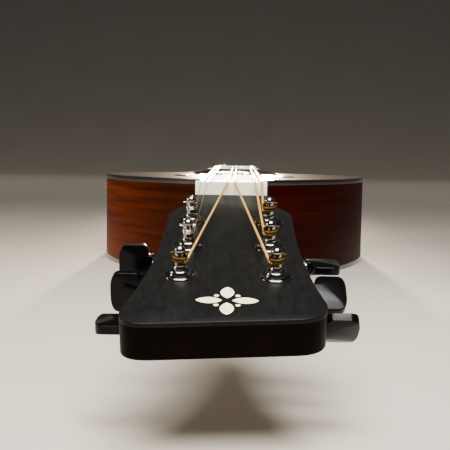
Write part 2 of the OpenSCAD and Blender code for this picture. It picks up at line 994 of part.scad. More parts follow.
// Points in the head's frame and back
function to_head(p) = let (y = p[1] + nut_t, z = p[2] - neck_top - face_rise)
    [p[0], y * cos(head_pitch) + z * sin(head_pitch), -y * sin(head_pitch) + z * cos(head_pitch)];
function from_head(q) =
    [q[0], -nut_t + q[1] * cos(head_pitch) - q[2] * sin(head_pitch),
     neck_top + face_rise + q[1] * sin(head_pitch) + q[2] * cos(head_pitch)];
function nut_point(i) = [string_x(i, nut_course_x), -nut_t / 2, string_nut_z];
function saddle_point(i) = [string_x(i, saddle_course_x), scale_len, string_saddle_z];
function comb_point(i) = [string_x(i, saddle_course_x), comb_y + 6, comb_z - 0.1];
function wrap_radius(i) = waist_r + 0.05 + string_r[i];
function wrap_pitch(i) = 2 * string_r[i] + wrap_gap;
// Where the string leaves its post: a tangent on the side nearer the centre line
function tangent_point(i) = let (
    n = to_head(nut_point(i)),
    c = [side(i) * post_x[rank(i)], -post_u(i)],
    v = [n[0] - c[0], n[1] - c[1]],
    reach = norm(v),
    turn = acos(wrap_radius(i) / reach) * side(i),
    a = atan2(v[1], v[0]) + turn)
    from_head([c[0] + wrap_radius(i) * cos(a), c[1] + wrap_radius(i) * sin(a), wrap_z]);

function string_route(i) =
    [tangent_point(i), nut_point(i), saddle_point(i), comb_point(i)];

// A closed tube along points that run towards +y, with its rings across y
module tube(route, r, sides = 12) {
    last = len(route) - 1;
    points = [for (p = route, k = [0:sides - 1])
        p + r * [cos(k * 360 / sides), 0, sin(k * 360 / sides)]];
    walls = [for (n = [0:last - 1], k = [0:sides - 1])
        let (m = (k + 1) % sides, p = n * sides)
        [p + k, p + m, p + sides + m, p + sides + k]];
    start = [for (k = [sides - 1:-1:0]) k];
    stop = [for (k = [0:sides - 1]) last * sides + k];
    polyhedron(points, concat(walls, [start, stop]));
}

// Square slot for a string from p to q, open upwards and a little long at both ends
module slot(p, q, w) {
    v = q - p;
    spare = 0.6;
    translate(p)
        rotate([0, acos(v[2] / norm(v)), atan2(v[1], v[0])])
            translate([-4, -w / 2, -spare]) cube([4 + w / 2, w, norm(v) + 2 * spare]);
}

module string_grooves() {
    for (i = [0:5], k = [0:2])
        slot(string_route(i)[k], string_route(i)[k + 1], 2 * string_r[i] + 0.14);
}

// Stretch from the post over the nut and saddle, and its ball behind the tailpiece's comb
module string_run(i) {
    union() {
        tube(string_route(i), string_r[i]);
        translate([string_x(i, saddle_course_x), comb_y + 3.1, comb_z - 0.1])
            rotate([-90, 0, 0]) cylinder(r = 1.9, h = 3.4);
    }
}

module string_wraps(i) {
    on_tuner(i)
        for (k = [1:wrap_turns[i]])
            translate([0, 0, wrap_z + k * wrap_pitch(i)])
                rotate_extrude()
                    translate([wrap_radius(i), 0]) circle(r = string_r[i], $fn = 24);
}

module wound_strings() {
    color(bronze)
        for (i = [0, 1, 2, 5]) {
            string_run(i);
            string_wraps(i);
        }
}

module plain_strings() {
    color(steel)
        for (i = [3, 4]) {
            string_run(i);
            string_wraps(i);
        }
}

// ---- Nodes ----

module centred() {
    translate([0, -mid_y, 0]) children();
}

centred() soundboard();
centred() rosette();
centred() back_plate();
centred() rib(1);  // rib_bass
centred() rib(-1);  // rib_treble
centred() bindings();
centred() linings();
centred() neck_block();
centred() tail_block();
centred() braces();
centred() pickguard();
centred() bridge();
centred() saddle();
centred() tailpiece();
centred() tailpiece_screws();
centred() end_pin();
centred() neck_shaft();
centred() neck_heel();
centred() neck_bolts();
centred() neck_inserts();
centred() headstock();
centred() head_veneer();
centred() head_inlay();
centred() nut();
centred() fingerboard();
centred() frets();
centred() fret_dots();
centred() truss_rod();
centred() truss_nut();
centred() wound_strings();
centred() plain_strings();
centred() tuner_housings();
centred() tuner_covers();
centred() post_bushings();
centred() post_washers();
centred() tuner_screws();
for (i = [0:5]) {
    centred() post(i);
    centred() gear(i);
    centred() worm(i);
    centred() button(i);
}
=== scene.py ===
"""A bouzouki lying on its back, seen from in front of its headstock.

The solid model is the frame. This script gives every node its finish, replaces the nodes whose edges or
windings are finer than the solids, and sets the floor, the lights and the camera. Everything is in metres.
"""
import json
import math

import bmesh
import bpy
from mathutils import Matrix, Vector


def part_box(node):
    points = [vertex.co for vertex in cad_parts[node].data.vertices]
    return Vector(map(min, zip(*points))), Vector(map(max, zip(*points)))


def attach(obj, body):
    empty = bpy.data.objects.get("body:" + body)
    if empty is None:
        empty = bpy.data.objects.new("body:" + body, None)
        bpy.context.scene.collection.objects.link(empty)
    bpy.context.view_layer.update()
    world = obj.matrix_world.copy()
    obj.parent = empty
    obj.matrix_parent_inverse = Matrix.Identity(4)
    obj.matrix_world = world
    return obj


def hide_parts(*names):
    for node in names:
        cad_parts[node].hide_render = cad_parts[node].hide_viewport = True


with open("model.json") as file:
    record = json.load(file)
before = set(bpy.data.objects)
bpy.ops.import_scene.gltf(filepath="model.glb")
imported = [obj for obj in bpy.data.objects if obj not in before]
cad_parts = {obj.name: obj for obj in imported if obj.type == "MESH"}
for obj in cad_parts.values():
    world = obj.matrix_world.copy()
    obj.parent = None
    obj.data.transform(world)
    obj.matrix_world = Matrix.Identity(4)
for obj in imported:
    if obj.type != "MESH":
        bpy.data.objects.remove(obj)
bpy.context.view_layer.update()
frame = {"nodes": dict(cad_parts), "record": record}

MM = 0.001
record = frame["record"]
joints = {j["name"]: j for j in record["behaviour"]["joints"]}
slots = {s["node"]: s["material_slot"] for s in record["subparts"]}
body_of_node = {n: b for b, nodes in record["behaviour"]["bodies"].items() for n in nodes}
STATIC = body_of_node["headstock"]
SIDES = {"bass": 1, "treble": -1}
TUNERS = [(side, rank) for side in SIDES for rank in (1, 2, 3)]


# ---- Places taken from the frame ----

def middle(node):
    low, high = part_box(node)
    return (low + high) / 2


def head_frame():
    """Head frame: origin between the first posts, x across, y along the face to the nut, z out of the face."""
    post = joints["turn_post_bass_1"]
    up = Vector(post["axis"]).normalized()
    across = Vector((1, 0, 0))
    along = up.cross(across)
    origin = Vector(post["pos_m"])
    origin.x = 0
    return Matrix((across, along, up)).transposed().to_4x4(), origin


HEAD_TURN, HEAD_ORIGIN = head_frame()
HEAD = Matrix.Translation(HEAD_ORIGIN) @ HEAD_TURN
HEAD_INVERSE = HEAD.inverted()


def post_at(side, rank):
    """Where a post's axis meets the head, in the head frame."""
    return HEAD_INVERSE @ Vector(joints[f"turn_post_{side}_{rank}"]["pos_m"])


HOLE = middle("rosette")
BOARD_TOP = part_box("fingerboard")[1].z
SADDLE = middle("saddle")
SADDLE_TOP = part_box("saddle")[1].z
TAILPIECE_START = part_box("tailpiece")[0].y
BODY_LOW, BODY_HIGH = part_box("bindings")
SHOULDER_HALF = 27 * MM


# ---- Meshes ----

def new_piece(name, verts, faces, slot, body=STATIC, smooth_angle=35, nodes=()):
    mesh = bpy.data.meshes.new(name)
    mesh.from_pydata([tuple(v) for v in verts], [], faces)
    return finish_mesh(name, mesh, slot, body, smooth_angle, nodes)


def finish_mesh(name, mesh, slot, body, smooth_angle, nodes):
    """Welds, points the normals outwards, shades smooth up to an angle and joins the piece to its body."""
    bm = bmesh.new()
    bm.from_mesh(mesh)
    bmesh.ops.remove_doubles(bm, verts=bm.verts, dist=1e-6)
    bmesh.ops.recalc_face_normals(bm, faces=bm.faces)
    for face in bm.faces:
        face.smooth = True
    for edge in bm.edges:
        edge.smooth = len(edge.link_faces) == 2 and edge.calc_face_angle() < math.radians(smooth_angle)
    bm.to_mesh(mesh)
    bm.free()
    piece = bpy.data.objects.new(name, mesh)
    bpy.context.collection.objects.link(piece)
    mesh.materials.clear()
    mesh.materials.append(MATERIALS[slot])
    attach(piece, body)
    if nodes:
        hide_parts(*nodes)
    return piece


def eased(node, width, segments=3, sharp=30, smooth_angle=35, keep=None, profile=0.5):
    """The node's own shape with its sharp edges rounded, for a radius that the solid leaves out."""
    mesh = frame["nodes"][node].data.copy()
    bm = bmesh.new()
    bm.from_mesh(mesh)
    bmesh.ops.remove_doubles(bm, verts=bm.verts, dist=2e-6)
    bmesh.ops.dissolve_limit(bm, angle_limit=math.radians(0.5), verts=bm.verts, edges=bm.edges)
    bmesh.ops.recalc_face_normals(bm, faces=bm.faces)
    edges = [e for e in bm.edges if len(e.link_faces) == 2
             and e.calc_face_angle() > math.radians(sharp) and (keep is None or keep(e))]
    bmesh.ops.bevel(bm, geom=edges, offset=width, segments=segments, profile=profile, affect="EDGES",
                    clamp_overlap=True, loop_slide=False)
    bm.to_mesh(mesh)
    bm.free()
    return finish_mesh("eased_" + node, mesh, slots[node], body_of_node[node], smooth_angle, (node,))


def lathe(profile, steps=96):
    """Verts and faces of a profile of (radius, height) turned about z."""
    verts, faces = [], []
    for k in range(steps):
        a = 2 * math.pi * k / steps
        verts += [Vector((r * math.cos(a), r * math.sin(a), z)) for r, z in profile]
    n = len(profile)
    for k in range(steps):
        for j in range(n - 1):
            a, b = k * n + j, (k + 1) % steps * n + j
            faces.append((a, b, b + 1, a + 1))
    return verts, faces


def placed(matrix, verts):
    return [matrix @ v for v in verts]


def sweep(route, radius, sides=16):
    """Verts and faces of a closed tube along a route, carried without twist."""
    verts, faces = [], []
    normal = None
    for k, point in enumerate(route):
        ahead = (route[min(k + 1, len(route) - 1)] - route[max(k - 1, 0)]).normalized()
        if normal is None:
            normal = ahead.orthogonal().normalized()
        normal = (normal - ahead * normal.dot(ahead)).normalized()
        other = ahead.cross(normal)
        for s in range(sides):
            a = 2 * math.pi * s / sides
            verts.append(point + radius * (math.cos(a) * normal + math.sin(a) * other))
    for k in range(len(route) - 1):
        for s in range(sides):
            a, b = k * sides, (k + 1) * sides
            t = (s + 1) % sides
            faces.append((a + s, a + t, b + t, b + s))
    faces.append(tuple(range(sides - 1, -1, -1)))
    faces.append(tuple(range(len(verts) - sides, len(verts))))
    return verts, faces


def joined(parts):
    verts, faces = [], []
    for part_verts, part_faces in parts:
        faces += [tuple(i + len(verts) for i in face) for face in part_faces]
        verts += part_verts
    return verts, faces


# ---- Materials ----

class Shader:
    """A node material: helpers that add texture nodes on object coordinates, which are metres at rest."""

    def __init__(self, name, **values):
        self.material = bpy.data.materials.new(name)
        self.material.use_nodes = True
        self.tree = self.material.node_tree
        self.bsdf = self.tree.nodes["Principled BSDF"]
        self.coords = self.tree.nodes.new("ShaderNodeTexCoord").outputs["Object"]
        for key, value in values.items():
            self.bsdf.inputs[key.replace("_", " ")].default_value = value
        MATERIALS[name] = self.material

    def add(self, kind, **settings):
        node = self.tree.nodes.new(kind)
        for key, value in settings.items():
            setattr(node, key, value)
        return node

    def link(self, source, target):
        self.tree.links.new(source, target)

    def stretched(self, scale, turn=(0, 0, 0)):
        mapping = self.add("ShaderNodeMapping")
        mapping.inputs["Scale"].default_value = scale
        mapping.inputs["Rotation"].default_value = turn
        self.link(self.coords, mapping.inputs["Vector"])
        return mapping.outputs["Vector"]

    def noise(self, scale, detail=4, rough=0.55, vector=None, distortion=0):
        node = self.add("ShaderNodeTexNoise")
        node.inputs["Scale"].default_value = scale
        node.inputs["Detail"].default_value = detail
        node.inputs["Roughness"].default_value = rough
        node.inputs["Distortion"].default_value = distortion
        self.link(vector or self.coords, node.inputs["Vector"])
        return node.outputs["Fac"]

    def ramp(self, fac, stops):
        node = self.add("ShaderNodeValToRGB")
        elements = node.color_ramp.elements
        while len(elements) < len(stops):
            elements.new(0.5)
        for element, (position, color) in zip(elements, stops):
            element.position = position
            element.color = (*color, 1) if len(color) == 3 else color
        self.link(fac, node.inputs["Fac"])
        return node.outputs["Color"]

    def spread(self, fac, low, high):
        """Maps 0..1 to a narrow band of values."""
        node = self.add("ShaderNodeMapRange")
        node.inputs["To Min"].default_value = low
        node.inputs["To Max"].default_value = high
        self.link(fac, node.inputs["Value"])
        return node.outputs["Result"]

    def math(self, operation, a, b=None):
        node = self.add("ShaderNodeMath", operation=operation)
        for socket, value in zip(node.inputs, (a, b)):
            if value is None:
                continue
            if isinstance(value, (int, float)):
                socket.default_value = value
            else:
                self.link(value, socket)
        return node.outputs[0]

    def mix(self, fac, a, b, blend="MIX"):
        node = self.add("ShaderNodeMix", data_type="RGBA", blend_type=blend)
        for socket, value in ((node.inputs[0], fac), (node.inputs[6], a), (node.inputs[7], b)):
            if isinstance(value, (int, float)):
                socket.default_value = value
            elif isinstance(value, tuple):
                socket.default_value = (*value, 1)
            else:
                self.link(value, socket)
        return node.outputs[2]

    def color(self, source):
        self.link(source, self.bsdf.inputs["Base Color"])

    def roughness(self, source):
        self.link(source, self.bsdf.inputs["Roughness"])

    def bump(self, height, distance, strength=1.0, coat=False):
        node = self.add("ShaderNodeBump")
        node.inputs["Distance"].default_value = distance
        node.inputs["Strength"].default_value = strength
        self.link(height, node.inputs["Height"])
        self.link(node.outputs["Normal"], self.bsdf.inputs["Normal"])
        if coat:
            self.link(node.outputs["Normal"], self.bsdf.inputs["Coat Normal"])


MATERIALS = {}


def wood(name, dark, light, along, grain, gloss, coat, pores=0.35, tone=0.0, shine=0.2, painted_shade_ramp=()):
    """Wood whose grain runs along the given axes: fine streaks, broad figure and pores under a lacquer.

    A painted-shade ramp darkens the wood along the body, as ramp stops from the neck joint at 0 to the tail at
    1."""
    s = Shader(name, Coat_Weight=coat, Coat_Roughness=gloss, Coat_IOR=1.45, Specular_IOR_Level=shine)
    stretch = [grain * 0.035 if axis in along else grain for axis in range(3)]
    streaks = s.noise(1.0, 7, 0.62, s.stretched(stretch), 0.25)
    broad = s.noise(1.0, 3, 0.5, s.stretched([v * 0.16 for v in stretch]), 0.8)
    pore_stretch = [v * 3.2 for v in stretch]
    holes = s.ramp(s.noise(1.0, 2, 0.4, s.stretched(pore_stretch)), [(0.60, (0, 0, 0)), (0.70, (1, 1, 1))])
    middle_tone = tuple(a * (0.5 - tone) + b * (0.5 + tone) for a, b in zip(dark, light))
    base = s.ramp(streaks, [(0.30, dark), (0.52, middle_tone), (0.72, light)])
    shaded = s.mix(s.spread(broad, 0.0, 0.55), base, dark)
    finished = s.mix(s.math("MULTIPLY", holes, pores), shaded, tuple(c * 0.35 for c in dark))
    # painted shade: the ramp multiplies the wood darker along the body, from the neck joint towards the tail
    if painted_shade_ramp:
        split = s.add("ShaderNodeSeparateXYZ")
        s.link(s.coords, split.inputs[0])
        run = s.math("DIVIDE", s.math("SUBTRACT", split.outputs["Y"], BODY_LOW.y), BODY_HIGH.y - BODY_LOW.y)
        finished = s.mix(1.0, finished, s.ramp(run, painted_shade_ramp), "MULTIPLY")
    s.color(finished)
    s.roughness(s.spread(streaks, 0.34, 0.52))
    s.bump(s.math("SUBTRACT", streaks, s.math("MULTIPLY", holes, 0.6)), 0.00008, 0.5)
    return s


def edge_distance(s):
    """Distance from a point of the top to the body's edge: the tail is one arc and each shoulder another."""
    tail_radius = (BODY_HIGH.x - BODY_LOW.x) / 2
    widest_y = BODY_HIGH.y - tail_radius
    reach = widest_y - BODY_LOW.y
    rise = tail_radius - SHOULDER_HALF
    shoulder_radius = (reach * reach + rise * rise) / (2 * rise)
    split = s.add("ShaderNodeSeparateXYZ")
    s.link(s.coords, split.inputs[0])
    across = s.math("ABSOLUTE", split.outputs["X"])
    along = s.math("SUBTRACT", split.outputs["Y"], widest_y)
    along_squared = s.math("MULTIPLY", along, along)

    def arc(offset, radius):
        x = s.math("ADD", across, offset)
        length = s.math("SQRT", s.math("ADD", s.math("MULTIPLY", x, x), along_squared))
        return s.math("SUBTRACT", radius, length)

    beyond = s.math("GREATER_THAN", along, 0.0)
    tail = s.math("MULTIPLY", arc(0.0, tail_radius), beyond)
    before = s.math("SUBTRACT", 1.0, beyond)
    shoulder = s.math("MULTIPLY", arc(shoulder_radius - tail_radius, shoulder_radius), before)
    return s.math("ADD", tail, shoulder), split


def sunburst():
    """Spruce with fine straight winter lines, toned from amber in the middle to near black at the edge."""
    s = Shader("spruce", Coat_Weight=1.0, Coat_Roughness=0.07, Coat_IOR=1.5)
    distance, split = edge_distance(s)
    wander = s.math("MULTIPLY", s.noise(6.0, 3, 0.5), 0.006)
    across = s.math("ADD", s.math("ABSOLUTE", split.outputs["X"]), wander)
    lines = s.math("POWER", s.math("FRACT", s.math("MULTIPLY", across, 620.0)), 3.5)
    density = s.noise(1.0, 3, 0.5, s.stretched((22, 1.2, 22)))
    silk = s.noise(1.0, 4, 0.6, s.stretched((14, 90, 14)), 0.4)
    winter = s.math("MULTIPLY", lines, s.spread(density, 0.25, 0.85))
    base = s.mix(winter, (0.60, 0.27, 0.065), (0.30, 0.10, 0.018))
    amber = s.mix(s.spread(silk, 0.0, 0.35), base, (0.66, 0.34, 0.10))
    uneven = s.math("ADD", s.math("MULTIPLY", distance, 1 / 0.15), s.spread(s.noise(9.0, 3, 0.5), -0.07, 0.07))
    tone = s.ramp(uneven, [(0.10, (0.018, 0.006, 0.003)), (0.34, (0.30, 0.055, 0.012)),
                           (0.58, (0.86, 0.50, 0.26)), (0.80, (1.0, 0.96, 0.90))])
    s.color(s.mix(1.0, amber, tone, "MULTIPLY"))
    s.roughness(s.spread(silk, 0.3, 0.42))
    s.bump(lines, 0.00002, 0.3)


def polished_metal(name, color, rough, streak=0.06, scratches=True):
    s = Shader(name, Metallic=1.0)
    cloud = s.noise(160.0, 4, 0.6)
    s.color(s.mix(s.spread(cloud, 0.0, 0.25), color, tuple(c * 0.72 for c in color)))
    fine = s.noise(1.0, 5, 0.7, s.stretched((900, 900, 2600)))
    s.roughness(s.spread(s.math("MULTIPLY", cloud, fine) if scratches else cloud, rough, rough + streak * 3))
    s.bump(fine, 0.000006, 0.35)
    return s


def plastic(name, color, rough, coat=0.0, grain=900.0, depth=0.00002, mottle=None, shine=0.5):
    s = Shader(name, Coat_Weight=coat, Coat_Roughness=0.08, Specular_IOR_Level=shine)
    wide = s.noise(38.0, 4, 0.6)
    fine = s.noise(grain, 3, 0.6)
    s.color(s.mix(s.spread(wide, 0.0, 0.5), color, mottle or tuple(c * 0.6 for c in color)))
    s.roughness(s.math("ADD", s.spread(wide, rough - 0.05, rough + 0.07), s.spread(fine, -0.03, 0.03)))
    s.bump(fine, depth, 0.5)
    return s


def satin_black():
    """Rubbed black lacquer over the head's veneer: its grain shows faintly, and the eased rim is smoother."""
    s = Shader("black_face", Specular_IOR_Level=0.09)
    facing = s.add("ShaderNodeVectorMath", operation="DOT_PRODUCT")
    s.link(s.add("ShaderNodeNewGeometry").outputs["Normal"], facing.inputs[0])
    facing.inputs[1].default_value = tuple(HEAD_TURN.col[2].xyz)
    black, white = (0, 0, 0), (1, 1, 1)
    rim = s.ramp(facing.outputs["Value"], [(0.20, black), (0.50, white), (0.90, white), (0.97, black)])
    grain = s.noise(1.0, 6, 0.6, s.stretched((420, 22, 420)))
    rubbed = s.noise(1.0, 5, 0.7, s.stretched((1500, 160, 1500)))
    cloud = s.noise(26.0, 4, 0.6)
    s.color(s.ramp(grain, [(0.32, (0.0026, 0.0026, 0.0025)), (0.68, (0.0058, 0.0058, 0.0055))]))
    face = s.math("ADD", s.spread(cloud, 0.40, 0.50), s.spread(rubbed, -0.03, 0.03))
    s.roughness(s.math("ADD", face, s.math("MULTIPLY", rim, -0.22)))
    s.bump(s.math("ADD", grain, s.math("MULTIPLY", rubbed, 0.35)), 0.000018, 0.6)


def glossy_button():
    """Polished black plastic with a faint mottle."""
    s = Shader("black_button", Specular_IOR_Level=0.10)
    wide = s.noise(38.0, 4, 0.6)
    s.color(s.mix(s.spread(wide, 0.0, 0.5), (0.0015, 0.0015, 0.0018), (0.0009, 0.0009, 0.0011)))
    s.roughness(s.spread(wide, 0.14, 0.22))
    s.bump(s.noise(700.0, 3, 0.6), 0.00001, 0.5)


def mother_of_pearl():
    s = Shader("pearl", Coat_Weight=0.5, Coat_Roughness=0.1)
    layers = s.noise(90.0, 5, 0.65, None, 2.2)
    s.color(s.ramp(layers, [(0.30, (0.97, 0.98, 0.56)), (0.5, (1.0, 1.0, 0.62)), (0.7, (1.0, 1.0, 0.74))]))
    s.roughness(s.spread(layers, 0.22, 0.4))
    s.bump(layers, 0.00001, 0.3)


def bone():
    s = Shader("bone", Subsurface_Weight=0.12, Subsurface_Radius=(0.002, 0.0014, 0.0009))
    pores = s.noise(1.0, 6, 0.65, s.stretched((900, 160, 500)))
    warm = s.noise(70.0, 3, 0.5)
    base = s.ramp(pores, [(0.35, (0.92, 0.86, 0.70)), (0.6, (0.98, 0.95, 0.83))])
    s.color(s.mix(s.spread(warm, 0.0, 0.3), base, (0.92, 0.82, 0.60)))
    s.roughness(s.spread(pores, 0.26, 0.42))
    s.bump(pores, 0.00001, 0.4)


def wound_wire(name, dark, light):
    """Bronze wire wound on a core: ridges that count along each string's own length."""
    s = Shader(name, Metallic=1.0)
    run = s.add("ShaderNodeAttribute", attribute_name="run").outputs["Fac"]
    turns = s.math("SINE", s.math("MULTIPLY", run, 2 * math.pi / (0.30 * MM)))
    tarnish = s.noise(120.0, 4, 0.6)
    base = s.ramp(tarnish, [(0.3, dark), (0.7, light)])
    s.color(s.mix(s.spread(turns, 0.0, 0.3), base, (0.36, 0.19, 0.06)))
    s.roughness(s.spread(tarnish, 0.40, 0.55))
    s.bump(turns, 0.05 * MM, 0.6)


def rosette_rings():
    """Inlaid rings round the sound hole, told apart by the distance from its middle."""
    s = Shader("rosette_rings", Coat_Weight=0.7, Coat_Roughness=0.1)
    offset = s.add("ShaderNodeVectorMath", operation="SUBTRACT")
    s.link(s.coords, offset.inputs[0])
    offset.inputs[1].default_value = (HOLE.x, HOLE.y, HOLE.z)
    split = s.add("ShaderNodeSeparateXYZ")
    s.link(offset.outputs[0], split.inputs[0])
    flat = s.add("ShaderNodeCombineXYZ")
    s.link(split.outputs["X"], flat.inputs["X"])
    s.link(split.outputs["Y"], flat.inputs["Y"])
    reach = s.add("ShaderNodeVectorMath", operation="LENGTH")
    s.link(flat.outputs[0], reach.inputs[0])
    angle = s.math("ARCTAN2", split.outputs["Y"], split.outputs["X"])
    low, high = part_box("rosette")
    outer = (high.x - low.x) / 2
    inner = outer - 9 * MM
    share = s.math("DIVIDE", s.math("SUBTRACT", reach.outputs["Value"], inner), outer - inner)
    black, cream, red = (0.012, 0.011, 0.010), (0.74, 0.66, 0.44), (0.30, 0.035, 0.012)
    lozenge = s.math("ADD", s.math("MULTIPLY", angle, 72 / (2 * math.pi)), s.math("MULTIPLY", share, 4.0))
    weave = s.math("GREATER_THAN", s.math("FRACT", lozenge), 0.5)
    tiles = s.mix(weave, red, cream)
    rings = s.add("ShaderNodeValToRGB")
    rings.color_ramp.interpolation = "CONSTANT"
    stops = [(0.0, 0), (0.10, 1), (0.17, 0), (0.24, 1), (0.30, 0), (0.35, 0.5),
             (0.65, 0), (0.70, 1), (0.76, 0), (0.83, 1), (0.90, 0)]
    elements = rings.color_ramp.elements
    while len(elements) < len(stops):
        elements.new(0.5)
    for element, (position, level) in zip(elements, stops):
        element.position = position
        element.color = (level, level, level, 1)
    s.link(share, rings.inputs["Fac"])
    level = rings.outputs["Color"]
    is_cream = s.math("GREATER_THAN", level, 0.8)
    is_tile = s.math("MULTIPLY", s.math("GREATER_THAN", level, 0.1), s.math("LESS_THAN", level, 0.8))
    s.color(s.mix(is_tile, s.mix(is_cream, black, cream), tiles))
    fine = s.noise(700.0, 4, 0.6)
    s.roughness(s.spread(fine, 0.25, 0.4))
    s.bump(fine, 0.00001, 0.3)


def tortoiseshell():
    s = Shader("guard", Coat_Weight=0.8, Coat_Roughness=0.06)
    cloud = s.noise(34.0, 5, 0.62, None, 1.6)
    s.color(s.ramp(cloud, [(0.36, (0.012, 0.004, 0.002)), (0.52, (0.075, 0.016, 0.004)),
                           (0.66, (0.33, 0.105, 0.018))]))
    s.roughness(s.spread(cloud, 0.2, 0.3))
    s.bump(s.noise(300.0, 3, 0.6), 0.00001, 0.3)


def make_materials():
    wood("red_brown_wood", (0.026, 0.0018, 0.0003), (0.130, 0.0150, 0.0008), (1,), 130.0, 0.14, 0.04,
         shine=0.05)
    rib_tones = (0.032, 0.0034, 0.0003), (0.180, 0.0300, 0.0014)
    # Painted shade: each side darkens towards the neck, and the bass side is a much darker shaded copy of the
    # same wood
    wood("rib_wood_treble_painted_shade", *rib_tones, (0, 1), 130.0, 0.14, 0.02, shine=0.03,
         painted_shade_ramp=[(0.08, (0.26, 0.24, 0.24)), (0.34, (1, 1, 1))])
    wood("rib_wood_bass_painted_shade", *rib_tones, (0, 1), 130.0, 0.14, 0.02, shine=0.03,
         painted_shade_ramp=[(0.50, (0.20, 0.08, 0.30)), (0.90, (1, 1, 1))])
    wood("dark_neck", (0.0010, 0.0004, 0.0002), (0.0042, 0.0013, 0.0005), (1,), 160.0, 0.12, 0.01,
         shine=0.02)
    wood("ebony", (0.007, 0.0052, 0.0042), (0.026, 0.019, 0.015), (1,), 260.0, 0.3, 0.15)
    sunburst()
    satin_black()
    mother_of_pearl()
    bone()
    wound_wire("bronze", (0.86, 0.50, 0.14), (1.0, 0.68, 0.24))
    # painted shade: a darkened copy of the bronze, for the wire wound round the posts
    wound_wire("bronze_painted_shade", (0.022, 0.012, 0.004), (0.095, 0.048, 0.014))
    rosette_rings()
    tortoiseshell()
    polished_metal("chrome", (0.27, 0.26, 0.245), 0.09, 0.03)
    polished_metal("steel", (0.62, 0.61, 0.59), 0.16, 0.06)
    polished_metal("brass", (0.72, 0.48, 0.17), 0.2, 0.08)
    plastic("black_trim", (0.010, 0.010, 0.010), 0.22, 0.6)
    glossy_button()
    plastic("black_casting", (0.012, 0.012, 0.013), 0.30, 0.2, 1800.0, 0.00004)


# ---- Pieces that replace nodes ----

BORE_CLEARANCE = 7 * MM    # edges nearer a post's axis than this belong to its bore and stay sharp


def head_height(vert):
    return (HEAD_INVERSE @ vert.co).z


def make_head():
    """Veneer and core with the face's outer edge rounded, as it is on the real head."""
    inlay = HEAD_INVERSE @ middle("head_inlay")

    def face_rim(edge):
        on_face = all(abs(head_height(v)) < 0.00005 for v in edge.verts)
        at = HEAD_INVERSE @ ((edge.verts[0].co + edge.verts[1].co) / 2)
        far_from_inlay = max(abs(at.x - inlay.x), abs(at.y - inlay.y)) > 15.5 * MM
        near_post = any((post_at(side, rank) - at).length < BORE_CLEARANCE for side, rank in TUNERS)
        return on_face and far_from_inlay and not near_post

    def back_rim(edge):
        depth = min(head_height(v) for v in edge.verts)
        level = abs(head_height(edge.verts[0]) - head_height(edge.verts[1])) < 0.0001
        at = HEAD_INVERSE @ ((edge.verts[0].co + edge.verts[1].co) / 2)
        near_post = any((post_at(side, rank) - at).xy.length < BORE_CLEARANCE for side, rank in TUNERS)
        return depth < -13 * MM and level and not near_post

    eased("head_veneer", 0.7 * MM, 5, keep=face_rim, profile=0.34)
    eased("headstock", 3.6 * MM, 7, keep=back_rim)


def make_buttons():
    for side, rank in TUNERS:
        eased(f"button_{side}_{rank}", 0.5 * MM, 4, sharp=32, smooth_angle=50)


def make_small_parts():
    for node, width in (("nut", 0.25), ("fingerboard", 0.35), ("bridge", 0.5), ("tailpiece", 0.3),
                        ("bindings", 0.9), ("tuner_housings", 0.45), ("tuner_covers", 0.3),
                        ("post_bushings", 0.1), ("saddle", 0.15), ("post_washers", 0.1), ("neck_heel", 0.8),
                        ("pickguard", 0.35), ("end_pin", 0.2)):
        eased(node, width * MM, 3)
    for side, rank in TUNERS:
        eased(f"post_{side}_{rank}", 0.12 * MM, 2, smooth_angle=40)


# the two rib finishes carry painted shade along the body, heavier on the bass side
OWN_FINISH = {"rosette": "rosette_rings", "rib_bass": "rib_wood_bass_painted_shade", "rib_treble": "rib_wood_treble_painted_shade"}


# Strings: radius of each, and turns round its post
STRINGS = {("bass", 1): (0.64, 2), ("bass", 2): (0.62, 2), ("bass", 3): (0.62, 2),
           ("treble", 1): (0.18, 4), ("treble", 2): (0.22, 4), ("treble", 3): (0.60, 2)}
NUT_COURSE = 16 * MM
SADDLE_COURSE = 22 * MM
HALF_PAIR = 2 * MM
WAIST_RADIUS = 2.5 * MM
LEAVE_HEIGHT = 7.4 * MM
HOLE_HEIGHT = 10.9 * MM
WRAP_GAP = 0.1 * MM
STILL_TURN = 0.12        # part of a turn round the post that stays with the still string
COIL_START = 0.06        # where the wire that turns with the post starts, so that the two overlap
BALL_HEIGHT = BODY_HIGH.z + 4.7 * MM
TUBE_SIDES = 20


def string_across(side, rank, course):
    """Tip posts hold the middle course; the others hold the outer course, the first post its outer string."""
    if rank == 3:
        return SIDES[side] * HALF_PAIR
    return SIDES[side] * (course + (HALF_PAIR if rank == 1 else -HALF_PAIR))


def bend(before, corner, after, ease, steps=6):
    """A corner of a route as a short curve that starts and ends that far from it."""
    start = corner + (before - corner).normalized() * ease
    end = corner + (after - corner).normalized() * ease
    return [start.lerp(corner, t).lerp(corner.lerp(end, t), t) for t in (k / steps for k in range(steps + 1))]


